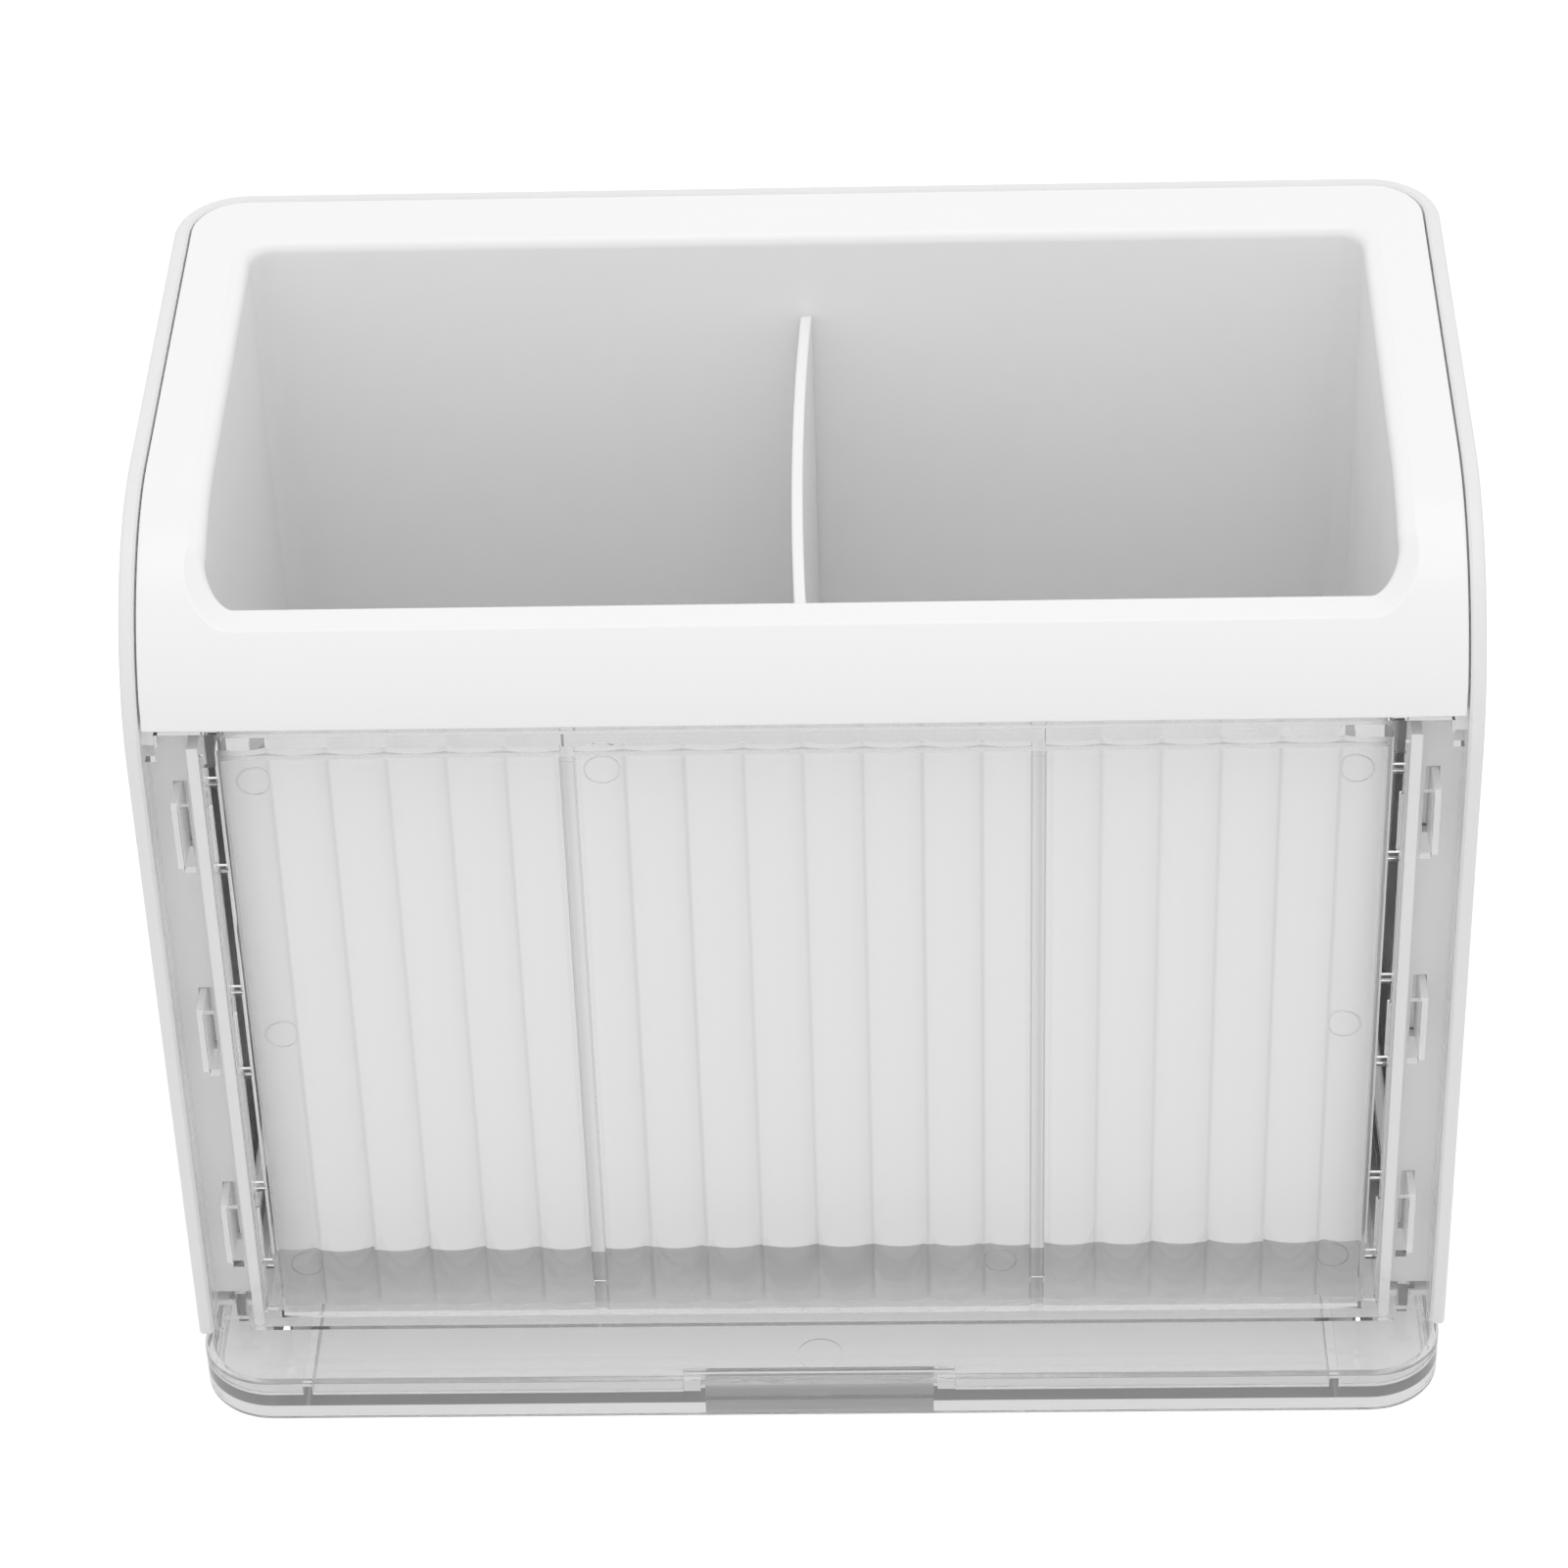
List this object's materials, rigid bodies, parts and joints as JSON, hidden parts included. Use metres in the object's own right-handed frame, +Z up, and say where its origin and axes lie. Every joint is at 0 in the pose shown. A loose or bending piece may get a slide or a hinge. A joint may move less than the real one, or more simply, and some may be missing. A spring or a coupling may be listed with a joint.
{
  "type": "wall-mounted utensil holder",
  "caption": "Wall-mounted holder for kitchen utensils: white shell with a lift-out divided bin, clear reeded front cover and a clear drip tray that slides out",
  "frame": {"origin": "centre of the footprint, at the bottom of the drip tray", "axes": "+Z up, +Y towards the wall, -Y the front, +X to the right seen from the front; X is the longest side"},
  "size_m": [0.24, 0.138, 0.1908],
  "materials": {
    "shell_white": "glossy moulded",
    "bin_white": "glossy moulded",
    "divider_white": "glossy moulded",
    "panel_clear": "clear polished",
    "tray_clear": "clear polished"
  },
  "bodies": {
    "shell": {"housing": "shell_white", "front_panel": "panel_clear"},
    "bin": {"utensil_bin": "bin_white"},
    "partition": {"divider": "divider_white"},
    "tray": {"drip_tray": "tray_clear"}
  },
  "joints": [
    {"name": "tray_slide", "type": "slide", "parent": "shell", "child": "tray", "axis": [0, -1, 0], "range_m": [0, 0.125]},
    {"name": "bin_lift", "type": "slide", "parent": "shell", "child": "bin", "axis": [0, 0, 1], "range_m": [0, 0.185]},
    {"name": "divider_lift", "type": "slide", "parent": "bin", "child": "partition", "axis": [0, 0, 1], "range_m": [0, 0.172]}
  ]
}
